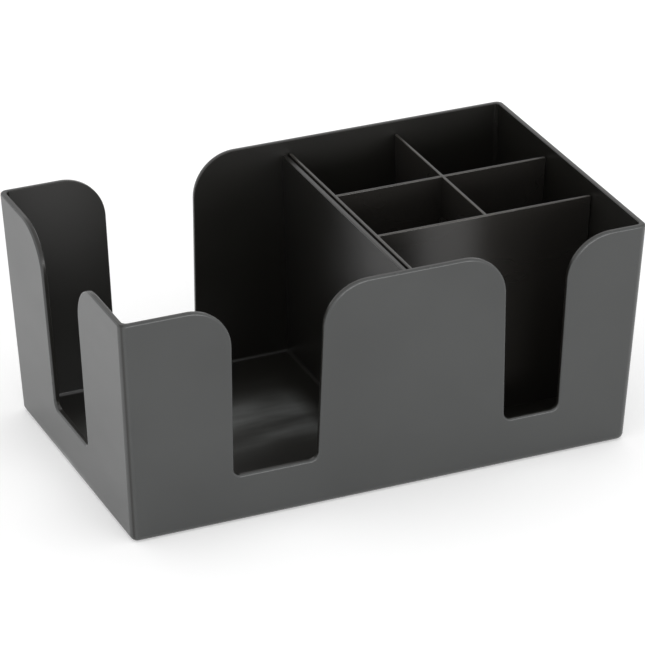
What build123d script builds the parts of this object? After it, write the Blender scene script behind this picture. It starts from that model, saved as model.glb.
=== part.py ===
from build123d import *
import math
import os

# A moulded bar caddy with a lift-out divider rack. Sizes are in millimetres and degrees.
# X runs along the length, Y from front to back, Z up. The origin is the middle of the base.

# Outside of the caddy
RIM_LENGTH = 240.0
RIM_WIDTH = 145.0
HEIGHT = 104.2
DRAFT = 3.0
WALL = 2.5
CORNER_RADIUS = 3.4
INNER_CORNER_RADIUS = 2.0
BASE_RADIUS = 3.0
RIM_ROUNDING = 1.0
RIM_INNER_BREAK = 0.35

# Floor, and the standing rim round the recess below it
FLOOR_TOP = 3.5
FLOOR_THICKNESS = 2.5
STANDING_RIM = 7.0
RECESS_CORNER = 4.0
FLOOR_RADIUS = 1.5

# Partition between the napkin bay on the left and the rack's half on the right
PARTITION_X = 13.15
PARTITION_THICKNESS = 2.5
PARTITION_TOP = 97.7
PARTITION_ROUNDING = 0.7

# Finger cut-outs: the middle along the wall and the width at the bottom of each
CUT_BOTTOM = 22.3
CUT_FLARE = 1.3
CUT_SHOULDER_RADIUS = 20.0
CUT_BOTTOM_RADIUS = 3.5
NAPKIN_FRONT_CUT = (-50.0, 38.2)
NAPKIN_BACK_CUT = (-51.3, 38.6)
FRONT_BAY_CUT = (68.5, 25.6)
END_CUT = (1.0, 39.4)

# Divider rack
RACK_TOP = 98.5
RACK_PLATE = 1.4
RACK_GAP = 0.5
RACK_FOOT_RADIUS = 1.2
RACK_SPINE_X = PARTITION_X + PARTITION_THICKNESS / 2 + RACK_GAP + RACK_PLATE / 2
BACK_PLATE_Y = 20.0
FRONT_PLATE_Y = -24.3
SHORT_PLATE_X = 66.9
PLATE_ROUNDING = 0.6

# Further than any part of the caddy reaches, for tools that cut right through
BEYOND = 150.0


def wall_inset(z):
    """How far the outside has come in from the rim's plan at height z."""
    return (HEIGHT - z) * math.tan(math.radians(DRAFT))


def depth_in_wall(point):
    """How far a point is from the outside of the nearest wall, measured level."""
    reach_x = RIM_LENGTH / 2 - wall_inset(point.Z)
    reach_y = RIM_WIDTH / 2 - wall_inset(point.Z)
    return min(reach_x - abs(point.X), reach_y - abs(point.Y))


def slab(x_range, y_range, z_range):
    """A plain block given by its limits along each axis."""
    sizes = [high - low for low, high in (x_range, y_range, z_range)]
    middle = [(high + low) / 2 for low, high in (x_range, y_range, z_range)]
    return Pos(*middle) * Box(*sizes)


def drafted_block(inset, z_low, z_high, corner_radius):
    """The caddy's outside shape moved in by inset, between two heights, with round upright corners."""
    narrower = wall_inset(z_low) - wall_inset(z_high)
    length = RIM_LENGTH - 2 * (wall_inset(z_high) + inset)
    width = RIM_WIDTH - 2 * (wall_inset(z_high) + inset)
    limits = (narrower, narrower, length - narrower, width - narrower)
    lying_block = Wedge(length, z_high - z_low, width, *limits)
    block = Pos(0, 0, (z_low + z_high) / 2) * Rot(-90, 0, 0) * lying_block
    uprights = block.edges().filter_by(lambda e: e.bounding_box().size.Z > 1)
    return fillet(uprights, corner_radius)


def round_foot(block, radius):
    """Round the edges of a block's bottom face."""
    return fillet(block.faces().sort_by(Axis.Z)[0].edges(), radius)


def room_inside(gap, foot_radius, x_range, z_top):
    """The room between the walls from the floor up to z_top, kept off the walls by gap."""
    room = drafted_block(WALL + gap, FLOOR_TOP, BEYOND, INNER_CORNER_RADIUS)
    return round_foot(room & slab(x_range, (-BEYOND, BEYOND), (0, z_top)), foot_radius)


def cut_profile(middle, width):
    """A finger cut-out seen square to its wall: round bottom corners, flared sides, large shoulders."""
    low = width / 2
    high = low + (HEIGHT - CUT_BOTTOM) * math.tan(math.radians(CUT_FLARE))
    wide = high + CUT_SHOULDER_RADIUS + 2
    right_half = [(low, CUT_BOTTOM), (high, HEIGHT), (wide, HEIGHT), (wide, BEYOND)]
    left_half = [(-x, z) for x, z in reversed(right_half)]
    profile = make_face(Polyline(*right_half, *left_half, close=True))
    shoulders = profile.vertices().filter_by(lambda v: abs(v.Y - HEIGHT) < 0.01 and abs(v.X) < wide - 1)
    profile = fillet(shoulders, CUT_SHOULDER_RADIUS)
    bottom_corners = profile.vertices().filter_by(lambda v: abs(v.Y - CUT_BOTTOM) < 0.01)
    profile = fillet(bottom_corners, CUT_BOTTOM_RADIUS)
    return Pos(middle, 0) * profile


def front_cut(middle, width):
    """A cut-out through the front wall."""
    outside = Plane.XZ.offset(RIM_WIDTH / 2 + 1)
    return extrude(outside * cut_profile(middle, width), -wall_inset(0) - 2 * WALL)


def back_cut(middle, width):
    """The same cut-out through the back wall."""
    return mirror(front_cut(middle, width), about=Plane.XZ)


def end_cut(middle, width):
    """A cut-out through the left end wall."""
    outside = Plane.YZ.offset(-RIM_LENGTH / 2 - 1)
    return extrude(outside * cut_profile(middle, width), wall_inset(0) + 2 * WALL)


def rim_edges(body, inner):
    """The edges along the rim and down round the finger cut-outs, on the walls' inner or outer side."""
    found = []
    for edge in body.edges():
        low = edge.bounding_box().min.Z
        depth = depth_in_wall(edge.position_at(0.5))
        across_the_wall = edge.length < WALL + 0.5
        on_rim = low > HEIGHT - 0.01
        round_cut = CUT_BOTTOM - 1 < low < HEIGHT - CUT_SHOULDER_RADIUS + 1
        on_wall_face = abs(depth - (WALL if inner else 0)) < 0.02
        # The middle of a corner arc lies further in than its ends, so the split is past mid-wall
        inner_half = depth > 0.7 * WALL
        if across_the_wall:
            continue
        if (on_rim and inner_half == inner) or (round_cut and on_wall_face):
            found.append(edge)
    return found


def underside_recess():
    """The shallow recess that leaves a standing rim round the base."""
    length = RIM_LENGTH - 2 * (wall_inset(0) + STANDING_RIM)
    width = RIM_WIDTH - 2 * (wall_inset(0) + STANDING_RIM)
    return extrude(RectangleRounded(length, width, RECESS_CORNER), FLOOR_TOP - FLOOR_THICKNESS)


def caddy_body():
    """Floor, four walls and the partition, with the finger cut-outs."""
    left = PARTITION_X - PARTITION_THICKNESS / 2
    right = PARTITION_X + PARTITION_THICKNESS / 2
    whole_room = room_inside(0, FLOOR_RADIUS, (-BEYOND, BEYOND), BEYOND)

    body = round_foot(drafted_block(0, 0, HEIGHT, CORNER_RADIUS), BASE_RADIUS)
    body -= room_inside(0, FLOOR_RADIUS, (-BEYOND, left), PARTITION_TOP)
    body -= room_inside(0, FLOOR_RADIUS, (right, BEYOND), PARTITION_TOP)
    body -= whole_room - slab((-BEYOND, BEYOND), (-BEYOND, BEYOND), (0, PARTITION_TOP))
    body -= underside_recess()
    body -= front_cut(*NAPKIN_FRONT_CUT)
    body -= back_cut(*NAPKIN_BACK_CUT)
    body -= front_cut(*FRONT_BAY_CUT)
    body -= end_cut(*END_CUT)
    body = fillet(rim_edges(body, inner=False), RIM_ROUNDING)
    body = chamfer(rim_edges(body, inner=True), RIM_INNER_BREAK)
    long_top_edges = body.edges().filter_by(Axis.Y).filter_by(
        lambda e: abs(e.center().Z - PARTITION_TOP) < 0.01 and left - 1 < e.center().X < right + 1
    )
    return fillet(long_top_edges, PARTITION_ROUNDING)


def divider_rack():
    """The lift-out rack: a spine beside the partition, two long plates and a short one across them."""
    half = RACK_PLATE / 2
    spine_left = RACK_SPINE_X - half
    full_z = (0, BEYOND)
    plates = slab((spine_left, spine_left + RACK_PLATE), (-BEYOND, BEYOND), full_z)
    for y in (BACK_PLATE_Y, FRONT_PLATE_Y):
        plates += slab((spine_left, BEYOND), (y - half, y + half), full_z)
    plates += slab((SHORT_PLATE_X - half, SHORT_PLATE_X + half), (FRONT_PLATE_Y, BEYOND), full_z)
    rack = plates & room_inside(RACK_GAP, RACK_FOOT_RADIUS, (spine_left, BEYOND), RACK_TOP)
    top_edges = rack.faces().sort_by(Axis.Z)[-1].edges()
    return fillet(top_edges, PLATE_ROUNDING)


if __name__ == "__main__":
    os.makedirs("parts", exist_ok=True)
    export_step(caddy_body(), "parts/caddy_body.step")
    export_step(divider_rack(), "parts/divider_rack.step")
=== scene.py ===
import math

import bmesh
import bpy
from mathutils import Matrix, Vector

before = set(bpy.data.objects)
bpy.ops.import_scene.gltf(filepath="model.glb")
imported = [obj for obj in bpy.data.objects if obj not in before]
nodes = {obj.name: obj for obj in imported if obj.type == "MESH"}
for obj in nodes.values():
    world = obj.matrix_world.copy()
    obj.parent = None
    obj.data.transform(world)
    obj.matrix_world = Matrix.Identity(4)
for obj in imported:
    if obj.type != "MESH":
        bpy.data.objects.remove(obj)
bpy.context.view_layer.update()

# Lengths are in metres. X runs along the caddy, Y from front to back, Z up from the table.

# Camera, as the photograph has it
CAMERA_PLACE = Vector((-0.673487, -1.556399, 0.891271))
CAMERA_AZIMUTH = math.radians(23.4230)
CAMERA_DROP = math.radians(26.4030)
CAMERA_ROLL = math.radians(-0.2550)
CAMERA_LENS = 244.267
CAMERA_FILM = 36.0
CAMERA_NEAR = 0.05
CAMERA_FAR = 20.0

# The caddy's own sizes, which place its finishes
RIM_HEIGHT = 0.1042
RIM_HALF_LENGTH = 0.120
RIM_HALF_WIDTH = 0.0725
DRAFT_SLOPE = math.tan(math.radians(3.0))
FLOOR_TOP = 0.0035
PARTITION_X = 0.01315

# Black plastic: its gloss, and its colour and roughness on each kind of face. The caddy's outside colour is
# paler as painted light, and its inside colour darker as painted shade
PLASTIC_IOR = 1.55
LIT_OUTSIDE_COLOUR = (0.0350, 0.0366, 0.0360)
SHADED_INSIDE_COLOUR = (0.0100, 0.0094, 0.0080)
INSIDE_ROUGHNESS = 0.30
RACK_COLOUR = (0.0190, 0.0175, 0.0155)
RACK_ROUGHNESS = 0.28

# The outside mask, which gives the paler outside colour (painted light) and the wear on every outer edge,
# reaches this far into a wall, then fades into the darker inside colour (painted shade)
OUTSIDE_DEPTH = 0.0004
INSIDE_DEPTH = 0.0010

# Cloudy and streaky flow marks: noise scales, and how far they change the colour, roughness and height
CLOUD_SCALE = 16.0
FLOW_SCALE = 22.0
FLOW_STRETCH = (0.35, 1.0, 2.2)
MARKS_LOW = 0.25
MARKS_HIGH = 0.75
TINT_CHANGE = 0.10
ROUGHNESS_CHANGE = 0.015
FLOW_HEIGHT = 0.9

# Spark-eroded grain and the sink line over the partition. The heights are shares of GRAIN_HEIGHT.
GRAIN_SCALE = 2400.0
GRAIN_HEIGHT = 0.00002
SINK_HALF_WIDTH = 0.0022
SINK_DEPTH = 0.8

# Edges: the largest part of a face's unit normal, on a flat wall and on a fully round edge
EDGE_FLATTEST = 0.994
EDGE_ROUNDEST = 0.93

# Edge wear: the heights between which it sets in, its patches, how much paler it is and how polished
WEAR_STARTS_Z = 0.092
WEAR_FULL_Z = 0.097
PATCH_SCALE = 90.0
PATCH_LOW = 0.3
PATCH_HIGH = 0.6
PATCH_LEAST = 0.4
CADDY_EDGE_PALER = 0.3
RACK_EDGE_PALER = 2.0
EDGE_POLISH = 0.06

# Painted light: the paler streaks across the napkin bay's floor, a painted pool of light and highlight
PAINTED_LIGHT_Y = 0.006
PAINTED_LIGHT_HALF_WIDTH = 0.046
PAINTED_LIGHT_END_X = 0.004
PAINTED_LIGHT_END_FADE = 0.010
PAINTED_LIGHT_PALER = 4.0
PAINTED_LIGHT_HEIGHT_FADE = 0.0007
PAINTED_LIGHT_PATCH_SCALE = 60.0
PAINTED_LIGHT_PATCH_STRETCH = (0.25, 1.0, 1.0)
PAINTED_LIGHT_PATCH_LOW = 0.3
PAINTED_LIGHT_PATCH_HIGH = 0.7
PAINTED_LIGHT_PATCH_LEAST = 0.35

# The white table lies just under the caddy's base, and is a little brighter where it is seen
TABLE_HALF_SIZE = 3.0
TABLE_DROP = Vector((0.0, 0.0, -0.0001))
TABLE_COLOUR = (0.8, 0.8, 0.8, 1.0)
TABLE_ROUGHNESS = 0.9
TABLE_LIFT = 0.3
WHITE = (1.0, 1.0, 1.0, 1.0)

# The soft box in front of the caddy
SOFT_BOX_PLACE = Vector((0.35, -1.9, 0.30))
SOFT_BOX_TARGET = Vector((0.0, 0.0, 0.05))
SOFT_BOX_LENGTH = 1.6
SOFT_BOX_HEIGHT = 0.5
SOFT_BOX_WATTS = 14.0

# Layers of finer detail in the noises: more in the broad patterns, fewer in the streaks and the grain
BROAD_DETAIL = 3.0
FINE_DETAIL = 2.0


def add_camera():
    """A long lens in front of the caddy, a little to its left and above it."""
    forward = Vector((
        math.sin(CAMERA_AZIMUTH) * math.cos(CAMERA_DROP),
        math.cos(CAMERA_AZIMUTH) * math.cos(CAMERA_DROP),
        -math.sin(CAMERA_DROP),
    ))
    level = Vector((math.cos(CAMERA_AZIMUTH), -math.sin(CAMERA_AZIMUTH), 0.0))
    upright = level.cross(forward)
    right = level * math.cos(CAMERA_ROLL) + upright * math.sin(CAMERA_ROLL)
    up = upright * math.cos(CAMERA_ROLL) - level * math.sin(CAMERA_ROLL)
    lens = bpy.data.cameras.new("camera")
    lens.lens = CAMERA_LENS
    lens.sensor_width = CAMERA_FILM
    lens.clip_start = CAMERA_NEAR
    lens.clip_end = CAMERA_FAR
    camera = bpy.data.objects.new("camera", lens)
    bpy.context.scene.collection.objects.link(camera)
    turn = Matrix((right, up, -forward)).transposed().to_4x4()
    camera.matrix_world = Matrix.Translation(CAMERA_PLACE) @ turn
    bpy.context.scene.camera = camera


def add_ramp(tree, source, low, high, to_low, to_high, smooth=False):
    """Turn the span from low to high into the span from to_low to to_high, evenly or with soft ends."""
    ramp = tree.nodes.new("ShaderNodeMapRange")
    if smooth:
        ramp.interpolation_type = "SMOOTHSTEP"
    ramp.inputs["From Min"].default_value = low
    ramp.inputs["From Max"].default_value = high
    ramp.inputs["To Min"].default_value = to_low
    ramp.inputs["To Max"].default_value = to_high
    tree.links.new(source, ramp.inputs["Value"])
    return ramp.outputs["Result"]


def add_math(tree, operation, first, second=None):
    """One step of arithmetic on a source and, where it needs one, a second source or a plain number."""
    node = tree.nodes.new("ShaderNodeMath")
    node.operation = operation
    tree.links.new(first, node.inputs[0])
    if isinstance(second, float):
        node.inputs[1].default_value = second
    elif second is not None:
        tree.links.new(second, node.inputs[1])
    return node.outputs["Value"]


def add_noise(tree, source, scale, detail, stretch=(1.0, 1.0, 1.0)):
    """Noise on the piece's own coordinates, finer along the axes where stretch is larger."""
    mapping = tree.nodes.new("ShaderNodeMapping")
    mapping.inputs["Scale"].default_value = stretch
    tree.links.new(source, mapping.inputs["Vector"])
    noise = tree.nodes.new("ShaderNodeTexNoise")
    noise.inputs["Scale"].default_value = scale
    noise.inputs["Detail"].default_value = detail
    tree.links.new(mapping.outputs["Vector"], noise.inputs["Vector"])
    return noise.outputs["Fac"]


def split_axes(tree, vector):
    """A vector's X, Y and Z as three outputs."""
    axes = tree.nodes.new("ShaderNodeSeparateXYZ")
    tree.links.new(vector, axes.inputs["Vector"])
    return axes.outputs


def distance_from(tree, source, middle):
    """How far a number is from middle, whichever side it is on."""
    return add_math(tree, "ABSOLUTE", add_math(tree, "SUBTRACT", source, middle))


def rounded_edge_mask(tree, normal):
    """1 on rounded edges, 0 on the nearly flat walls, whose normals lie along one axis."""
    size = tree.nodes.new("ShaderNodeVectorMath")
    size.operation = "ABSOLUTE"
    tree.links.new(normal, size.inputs[0])
    axes = split_axes(tree, size.outputs["Vector"])
    level = add_math(tree, "MAXIMUM", axes["X"], axes["Y"])
    largest = add_math(tree, "MAXIMUM", level, axes["Z"])
    return add_ramp(tree, largest, EDGE_FLATTEST, EDGE_ROUNDEST, 0.0, 1.0, smooth=True)


def caddy_outside_mask(tree, axes):
    """1 on the caddy's outer faces and underside, 0 on its inner ones, by depth into the drafted walls."""
    above_rim = add_math(tree, "SUBTRACT", axes["Z"], RIM_HEIGHT)
    widening = add_math(tree, "MULTIPLY", above_rim, DRAFT_SLOPE)
    depths = []
    for axis, half_size in (("X", RIM_HALF_LENGTH), ("Y", RIM_HALF_WIDTH)):
        off_middle = add_math(tree, "ABSOLUTE", axes[axis])
        reach = add_math(tree, "ADD", widening, half_size)
        depths.append(add_math(tree, "SUBTRACT", reach, off_middle))
    depth = add_math(tree, "MINIMUM", add_math(tree, "MINIMUM", *depths), axes["Z"])
    return add_ramp(tree, depth, OUTSIDE_DEPTH, INSIDE_DEPTH, 1.0, 0.0, smooth=True)


def painted_floor_light_mask(tree, spot, axes):
    """Up to 1 along the painted streaks of light on the napkin bay's floor, from its end cut-out to the
    partition.
    """
    off_streak = distance_from(tree, axes["Y"], PAINTED_LIGHT_Y)
    streak = add_ramp(tree, off_streak, 0.0, PAINTED_LIGHT_HALF_WIDTH, 1.0, 0.0, smooth=True)
    noise = add_noise(tree, spot, PAINTED_LIGHT_PATCH_SCALE, BROAD_DETAIL, PAINTED_LIGHT_PATCH_STRETCH)
    light_patches = add_ramp(tree, noise, PAINTED_LIGHT_PATCH_LOW, PAINTED_LIGHT_PATCH_HIGH, PAINTED_LIGHT_PATCH_LEAST, 1.0, smooth=True)
    in_bay = add_ramp(tree, axes["X"], PAINTED_LIGHT_END_X - PAINTED_LIGHT_END_FADE, PAINTED_LIGHT_END_X, 1.0, 0.0)
    on_floor = add_ramp(tree, axes["Z"], FLOOR_TOP, FLOOR_TOP + PAINTED_LIGHT_HEIGHT_FADE, 1.0, 0.0)
    mask = streak
    for limit in (light_patches, on_floor, in_bay):
        mask = add_math(tree, "MULTIPLY", mask, limit)
    return mask


def worn_edge_mask(tree, place, axes, outside):
    """1 on the rounded edges that hands rub: those near the top, and all outer ones if outside is given."""
    reached = add_ramp(tree, axes["Z"], WEAR_STARTS_Z, WEAR_FULL_Z, 0.0, 1.0, smooth=True)
    if outside is not None:
        reached = add_math(tree, "MAXIMUM", reached, outside)
    noise = add_noise(tree, place.outputs["Object"], PATCH_SCALE, BROAD_DETAIL)
    patches = add_ramp(tree, noise, PATCH_LOW, PATCH_HIGH, PATCH_LEAST, 1.0)
    edge_wear_and_floor_light = add_math(tree, "MULTIPLY", rounded_edge_mask(tree, place.outputs["Normal"]), patches)
    return add_math(tree, "MULTIPLY", edge_wear_and_floor_light, reached)


def plastic_roughness(tree, roughness, cloud, flow, worn):
    """Satin roughness that drifts with the flow marks and drops on the polished edges."""
    low = roughness - ROUGHNESS_CHANGE
    high = roughness + ROUGHNESS_CHANGE
    cloudy = add_ramp(tree, cloud, MARKS_LOW, MARKS_HIGH, low, high, smooth=True)
    streaky = add_ramp(tree, flow, MARKS_LOW, MARKS_HIGH, -ROUGHNESS_CHANGE, ROUGHNESS_CHANGE, smooth=True)
    satin = add_math(tree, "ADD", cloudy, streaky)
    return add_math(tree, "SUBTRACT", satin, add_math(tree, "MULTIPLY", worn, EDGE_POLISH))


def grain_normal(tree, height):
    """The surface normal that a height, as a share of GRAIN_HEIGHT, gives the plastic."""
    bump = tree.nodes.new("ShaderNodeBump")
    bump.inputs["Strength"].default_value = 1.0
    bump.inputs["Distance"].default_value = GRAIN_HEIGHT
    tree.links.new(height, bump.inputs["Height"])
    return bump.outputs["Normal"]


def moulded_plastic(name, base, roughness, edge_paler, is_caddy=False):
    """Black moulded plastic: spark-eroded grain, cloudy flow marks and edges polished by handling.

    The caddy's plastic is also paler on its outside as painted light, darker on its inside as painted
    shade, and paler along a painted streak of light across the floor, and has the shallow sink line that
    the partition's shrinkage leaves on the front and back walls.
    """
    material = bpy.data.materials.new(name)
    material.use_nodes = True
    tree = material.node_tree
    tree.nodes.clear()
    output = tree.nodes.new("ShaderNodeOutputMaterial")
    shader = tree.nodes.new("ShaderNodeBsdfPrincipled")
    shader.inputs["IOR"].default_value = PLASTIC_IOR
    tree.links.new(shader.outputs["BSDF"], output.inputs["Surface"])

    place = tree.nodes.new("ShaderNodeTexCoord")
    spot = place.outputs["Object"]
    axes = split_axes(tree, spot)
    cloud = add_noise(tree, spot, CLOUD_SCALE, BROAD_DETAIL)
    flow = add_noise(tree, spot, FLOW_SCALE, FINE_DETAIL, FLOW_STRETCH)
    grain = add_noise(tree, spot, GRAIN_SCALE, FINE_DETAIL)
    outside = caddy_outside_mask(tree, axes) if is_caddy else None
    worn = worn_edge_mask(tree, place, axes, outside)

    cloudy = add_ramp(tree, cloud, MARKS_LOW, MARKS_HIGH, 1.0 - TINT_CHANGE, 1.0 + TINT_CHANGE, smooth=True)
    tint = add_math(tree, "ADD", cloudy, add_math(tree, "MULTIPLY", worn, edge_paler))
    height = add_math(tree, "ADD", grain, add_math(tree, "MULTIPLY", flow, FLOW_HEIGHT))
    colour = tree.nodes.new("ShaderNodeVectorMath")
    colour.operation = "SCALE"
    colour.inputs[0].default_value = base
    if is_caddy:
        # Painted light: the floor streak is made paler, standing in for a pool of light and highlight on
        # the napkin bay's floor
        edge_wear_and_floor_light = painted_floor_light_mask(tree, spot, axes)
        paler = add_math(tree, "ADD", add_math(tree, "MULTIPLY", edge_wear_and_floor_light, PAINTED_LIGHT_PALER), 1.0)
        tint = add_math(tree, "MULTIPLY", tint, paler)
        # Painted light and shade: outer faces and the floor streak take the paler outside colour, and the
        # rest takes the darker inside colour
        faces = tree.nodes.new("ShaderNodeMix")
        faces.data_type = "RGBA"
        faces.inputs["A"].default_value = (*base, 1.0)
        faces.inputs["B"].default_value = (*LIT_OUTSIDE_COLOUR, 1.0)
        tree.links.new(add_math(tree, "MAXIMUM", outside, edge_wear_and_floor_light), faces.inputs["Factor"])
        tree.links.new(faces.outputs["Result"], colour.inputs[0])
        off_line = distance_from(tree, axes["X"], PARTITION_X)
        sink = add_ramp(tree, off_line, 0.0, SINK_HALF_WIDTH, -SINK_DEPTH, 0.0, smooth=True)
        height = add_math(tree, "ADD", height, sink)

    tree.links.new(tint, colour.inputs["Scale"])
    tree.links.new(colour.outputs["Vector"], shader.inputs["Base Color"])
    tree.links.new(plastic_roughness(tree, roughness, cloud, flow, worn), shader.inputs["Roughness"])
    tree.links.new(grain_normal(tree, height), shader.inputs["Normal"])
    return material


def dress(node, material):
    """The node keeps its mesh and gets the finished material."""
    piece = nodes[node]
    piece.data.materials.clear()
    piece.data.materials.append(material)


def seen_or_reflected(tree):
    """1 for what is seen directly, in a reflection or through glass, 0 for light that falls on things."""
    rays = tree.nodes.new("ShaderNodeLightPath")
    direct = add_math(tree, "MAXIMUM", rays.outputs["Is Camera Ray"], rays.outputs["Is Glossy Ray"])
    return add_math(tree, "MAXIMUM", direct, rays.outputs["Is Transmission Ray"])


def white_table():
    """A matt white that is clear from below, so that the caddy's underside can be looked at."""
    material = bpy.data.materials.new("white_table")
    material.use_nodes = True
    tree = material.node_tree
    shader = tree.nodes["Principled BSDF"]
    shader.inputs["Base Color"].default_value = TABLE_COLOUR
    shader.inputs["Roughness"].default_value = TABLE_ROUGHNESS
    shader.inputs["Specular IOR Level"].default_value = 0.0
    shader.inputs["Emission Color"].default_value = WHITE
    lift = add_math(tree, "MULTIPLY", seen_or_reflected(tree), TABLE_LIFT)
    tree.links.new(lift, shader.inputs["Emission Strength"])
    side = tree.nodes.new("ShaderNodeNewGeometry")
    clear = tree.nodes.new("ShaderNodeBsdfTransparent")
    either = tree.nodes.new("ShaderNodeMixShader")
    tree.links.new(side.outputs["Backfacing"], either.inputs["Fac"])
    tree.links.new(shader.outputs["BSDF"], either.inputs[1])
    tree.links.new(clear.outputs["BSDF"], either.inputs[2])
    tree.links.new(either.outputs["Shader"], tree.nodes["Material Output"].inputs["Surface"])
    return material


def add_floor():
    """A plain white table top that carries the caddy's soft shadow."""
    mesh = bpy.data.meshes.new("floor")
    sheet = bmesh.new()
    drop = Matrix.Translation(TABLE_DROP)
    bmesh.ops.create_grid(sheet, x_segments=1, y_segments=1, size=TABLE_HALF_SIZE, matrix=drop)
    sheet.to_mesh(mesh)
    sheet.free()
    mesh.materials.append(white_table())
    floor = bpy.data.objects.new("floor", mesh)
    bpy.context.scene.collection.objects.link(floor)


def add_world():
    """A plain white room."""
    world = bpy.data.worlds.new("room")
    world.use_nodes = True
    background = world.node_tree.nodes["Background"]
    background.inputs["Color"].default_value = WHITE
    background.inputs["Strength"].default_value = 1.0
    bpy.context.scene.world = world


def add_soft_box():
    """A wide, low soft box that faces the caddy's front."""
    lamp = bpy.data.lights.new("front_soft_box", "AREA")
    lamp.shape = "RECTANGLE"
    lamp.size = SOFT_BOX_LENGTH
    lamp.size_y = SOFT_BOX_HEIGHT
    lamp.energy = SOFT_BOX_WATTS
    holder = bpy.data.objects.new("front_soft_box", lamp)
    bpy.context.scene.collection.objects.link(holder)
    holder.location = SOFT_BOX_PLACE
    holder.rotation_euler = (SOFT_BOX_TARGET - SOFT_BOX_PLACE).to_track_quat("-Z", "Y").to_euler()


add_camera()
caddy_plastic = moulded_plastic(
    "black_caddy_plastic", SHADED_INSIDE_COLOUR, INSIDE_ROUGHNESS, CADDY_EDGE_PALER, is_caddy=True
)
rack_plastic = moulded_plastic("black_rack_plastic", RACK_COLOUR, RACK_ROUGHNESS, RACK_EDGE_PALER)
dress("caddy_body", caddy_plastic)
dress("divider_rack", rack_plastic)
add_floor()
add_world()
add_soft_box()

bpy.context.scene.view_settings.view_transform = "Standard"
